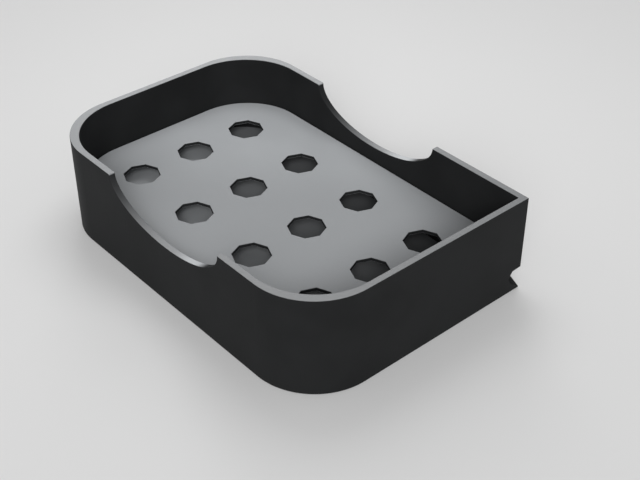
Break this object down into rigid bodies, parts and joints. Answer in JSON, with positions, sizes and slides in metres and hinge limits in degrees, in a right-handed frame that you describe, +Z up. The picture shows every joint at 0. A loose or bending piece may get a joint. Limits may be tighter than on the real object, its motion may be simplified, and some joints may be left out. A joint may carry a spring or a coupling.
{
  "type": "soap dish",
  "caption": "Open rectangular soap dish with finger notches in its long walls, a lift-out perforated drain plate and a sloped sump that empties through a square corner.",
  "frame": {"origin": "on the surface the dish stands on, under the middle of its plan", "axes": "+X along the dish's long side and +Y across it, with the square drain corner at +X, +Y; +Z up"},
  "size_m": [0.12, 0.08, 0.0312],
  "materials": {
    "charcoal_body": "matt charcoal with pale trimmed edges",
    "light_plate": "matt light grey",
    "pad_rubber": "matt"
  },
  "bodies": {
    "dish": {"dish_body": "charcoal_body", "foot_pad_1": "pad_rubber", "foot_pad_2": "pad_rubber", "foot_pad_3": "pad_rubber", "foot_pad_4": "pad_rubber"},
    "plate": {"drain_plate": "light_plate"}
  },
  "joints": [
    {"name": "plate_lift", "type": "slide", "parent": "dish", "child": "plate", "axis": [0, 0, 1], "range_m": [0, 0.025]}
  ]
}
